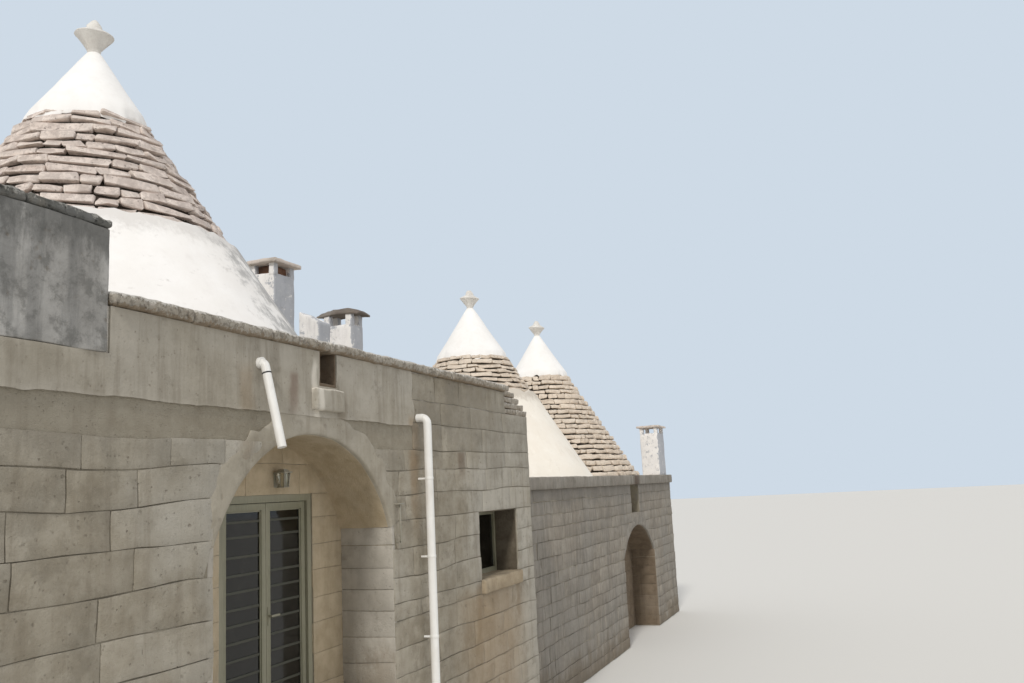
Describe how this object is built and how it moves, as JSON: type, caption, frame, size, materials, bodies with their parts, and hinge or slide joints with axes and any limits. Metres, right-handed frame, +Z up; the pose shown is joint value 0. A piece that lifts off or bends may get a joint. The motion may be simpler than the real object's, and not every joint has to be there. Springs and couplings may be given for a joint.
{
  "type": "trullo house",
  "caption": "Limestone trullo house on a slope: an upper house with one large stone cone and an arched porch with a glazed double door, and a lower house with twin cones.",
  "frame": {"origin": "middle of the footprint's box, at the lower ground level", "axes": "+X along the fronts from the upper house to the lower one, +Y from the fronts to the back, +Z up"},
  "size_m": [22.6, 6.3537, 8.8138],
  "materials": {
    "block_masonry": "rough dressed limestone blocks, weathered, with lime-wash streaks",
    "niche_plaster": "smooth warm beige lime plaster",
    "lime_plaster": "hand-laid lime plaster, grey weathering",
    "cap_limewash": "white lime-wash",
    "roof_stone": "flat rough limestone slabs, dry laid",
    "coping_stone": "dark weathered stone",
    "roof_deck": "limestone paving",
    "floor_stone": "worn limestone flags",
    "chimney_plaster": "lime-washed masonry",
    "white_pipe": "satin white plastic",
    "painted_joinery": "cream-white paint",
    "pane_glass": "clear glass",
    "lantern_metal": "pale painted metal, aged"
  },
  "bodies": {
    "house": {"back_coping": "coping_stone", "back_parapet": "lime_plaster", "block_coping": "coping_stone", "chimney_slabs": "coping_stone", "cone_base": "lime_plaster", "cone_cap": "cap_limewash", "cone_pinnacle": "cap_limewash", "cone_stones": "roof_stone", "door_frame": "painted_joinery", "door_lintel": "niche_plaster", "downpipe": "white_pipe", "end_chimney": "chimney_plaster", "end_party_wall": "lime_plaster", "first_cone_base": "lime_plaster", "first_cone_stones": "roof_stone", "flue_stub": "chimney_plaster", "front_chimney": "chimney_plaster", "front_coping": "coping_stone", "front_parapet": "block_masonry", "front_wall_left": "block_masonry", "front_wall_middle": "block_masonry", "front_wall_right": "block_masonry", "lantern": "lantern_metal", "left_party_wall": "lime_plaster", "lower_arch": "block_masonry", "lower_back_wall": "lime_plaster", "lower_floor": "floor_stone", "lower_front_left": "block_masonry", "lower_front_right": "block_masonry", "lower_niche_back": "niche_plaster", "lower_roof_deck": "roof_deck", "middle_party_wall": "lime_plaster", "niche_back_left": "niche_plaster", "niche_back_right": "niche_plaster", "porch_arch": "block_masonry", "porch_step": "block_masonry", "rain_pipe": "white_pipe", "raised_block": "lime_plaster", "rear_chimney": "chimney_plaster", "second_cone_stones": "roof_stone", "spout_stone": "coping_stone", "stepped_shoulder": "block_masonry", "twin_caps": "cap_limewash", "twin_pinnacles": "cap_limewash", "upper_back_wall": "lime_plaster", "upper_floor": "floor_stone", "upper_roof_deck": "roof_deck", "wall_over_window": "block_masonry", "wall_under_window": "block_masonry", "window_casement": "painted_joinery", "window_glass": "pane_glass", "window_sill": "coping_stone"},
    "left_leaf": {"door_leaf_left": "painted_joinery", "door_glass_left": "pane_glass"},
    "right_leaf": {"door_leaf_right": "painted_joinery", "door_glass_right": "pane_glass"}
  },
  "joints": [
    {"name": "left_leaf_hinge", "type": "hinge", "parent": "house", "child": "left_leaf", "pos_m": [-7.6875, -2.22508, 2.5], "axis": [0, 0, 1], "range_deg": [0, 90]},
    {"name": "right_leaf_hinge", "type": "hinge", "parent": "house", "child": "right_leaf", "pos_m": [-6.4825, -2.22508, 2.5], "axis": [0, 0, -1], "range_deg": [0, 90]}
  ]
}
